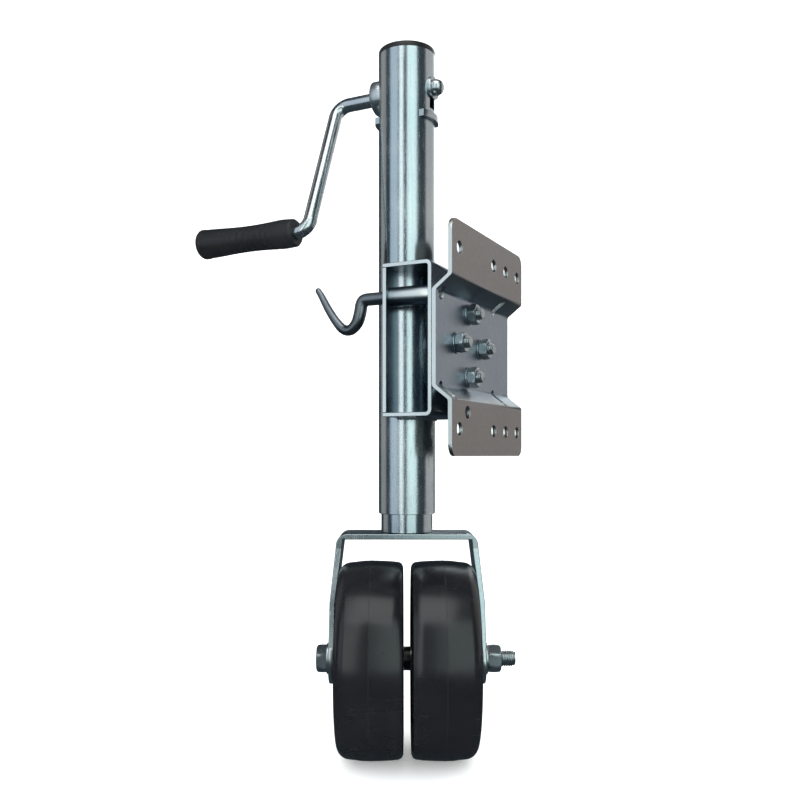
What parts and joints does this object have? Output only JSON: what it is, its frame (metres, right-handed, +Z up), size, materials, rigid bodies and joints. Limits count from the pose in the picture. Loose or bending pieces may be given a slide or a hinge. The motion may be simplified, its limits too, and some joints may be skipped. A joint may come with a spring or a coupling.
{
  "type": "trailer tongue jack",
  "caption": "Side-wind swing-away trailer jack with a bolt-on plate, crank, pull pin and a swivelling twin-wheel caster.",
  "frame": {"origin": "centre of the four outermost frame bolt holes, on the outer face of the mounting plate's wings", "axes": "+X out of the mounting plate towards the trailer's frame rail, +Z up along the jack's tube, +Y along the frame rail"},
  "size_m": [0.3264, 0.291, 0.7041],
  "materials": {
    "zinc": "bright zinc plate",
    "bright_steel": "bright zinc plate",
    "machined_steel": "oiled machined steel",
    "bronze": "machined bronze",
    "black_plastic": "moulded, semi-gloss",
    "black_grip": "moulded, satin"
  },
  "bodies": {
    "mount": {"mount_plate": "zinc", "pivot_hub": "zinc", "hub_retainer": "zinc", "hub_bolts": "bright_steel", "hub_washers": "bright_steel", "hub_nuts": "bright_steel"},
    "jack": {"outer_tube": "zinc", "top_cap": "black_plastic", "swing_bracket": "zinc", "cheek_plate": "zinc", "pin_sleeve": "zinc", "crank_bush_left": "zinc", "crank_bush_right": "zinc", "screw_support": "zinc", "thrust_bearing": "machined_steel", "pin_spring": "bright_steel"},
    "lock_pin": {"pull_pin": "bright_steel", "pin_collar": "bright_steel"},
    "crank": {"crank_handle": "bright_steel", "crank_pinion": "machined_steel", "shaft_end_nut": "bright_steel", "grip_washer": "bright_steel"},
    "grip": {"grip": "black_grip"},
    "screw": {"lead_screw": "machined_steel", "screw_gear": "machined_steel"},
    "ram": {"inner_tube": "zinc", "lift_nut": "bronze", "swivel_bush": "bronze"},
    "caster": {"fork": "zinc", "swivel_stem": "bright_steel", "stem_ring": "bright_steel", "axle_bolt": "bright_steel", "axle_nut": "bright_steel", "axle_washers": "bright_steel", "wheel_spacers": "black_plastic"},
    "wheel_left": {"wheel_left": "black_plastic", "wheel_bush_left": "bright_steel"},
    "wheel_right": {"wheel_right": "black_plastic", "wheel_bush_right": "bright_steel"}
  },
  "joints": [
    {"name": "swing", "type": "hinge", "parent": "mount", "child": "jack", "pos_m": [-0.023, -0.0195, 0], "axis": [1, 0, 0], "range_deg": [0, 90]},
    {"name": "pin_slide", "type": "slide", "parent": "jack", "child": "lock_pin", "axis": [1, 0, 0], "range_m": [0, 0.0214], "deforming": ["pin_spring"]},
    {"name": "crank_turn", "type": "hinge", "parent": "jack", "child": "crank", "pos_m": [-0.072, -0.0495, 0.257], "axis": [1, 0, 0], "range_deg": [0, 14400]},
    {"name": "grip_spin", "type": "hinge", "parent": "crank", "child": "grip", "pos_m": [-0.222, -0.1095, 0.1125], "axis": [1, 0, 0], "continuous": true},
    {"name": "screw_turn", "type": "hinge", "parent": "jack", "child": "screw", "pos_m": [-0.072, -0.0495, 0], "axis": [0, 0, 1], "range_deg": [-14400, 0]},
    {"name": "ram_slide", "type": "slide", "parent": "jack", "child": "ram", "axis": [0, 0, -1], "range_m": [0, 0.254]},
    {"name": "caster_swivel", "type": "hinge", "parent": "ram", "child": "caster", "pos_m": [-0.072, -0.0495, -0.18], "axis": [0, 0, 1], "continuous": true},
    {"name": "wheel_left_spin", "type": "hinge", "parent": "caster", "child": "wheel_left", "pos_m": [-0.05504, -0.08351, -0.309], "axis": [0.8949, 0.4462, 0], "continuous": true},
    {"name": "wheel_right_spin", "type": "hinge", "parent": "caster", "child": "wheel_right", "pos_m": [-0.05504, -0.08351, -0.309], "axis": [0.8949, 0.4462, 0], "continuous": true}
  ],
  "couplings": [
    {"joint": "screw_turn", "follows": "crank_turn", "ratio": -1},
    {"joint": "ram_slide", "follows": "crank_turn", "m_per_rad": 0.0010106}
  ]
}
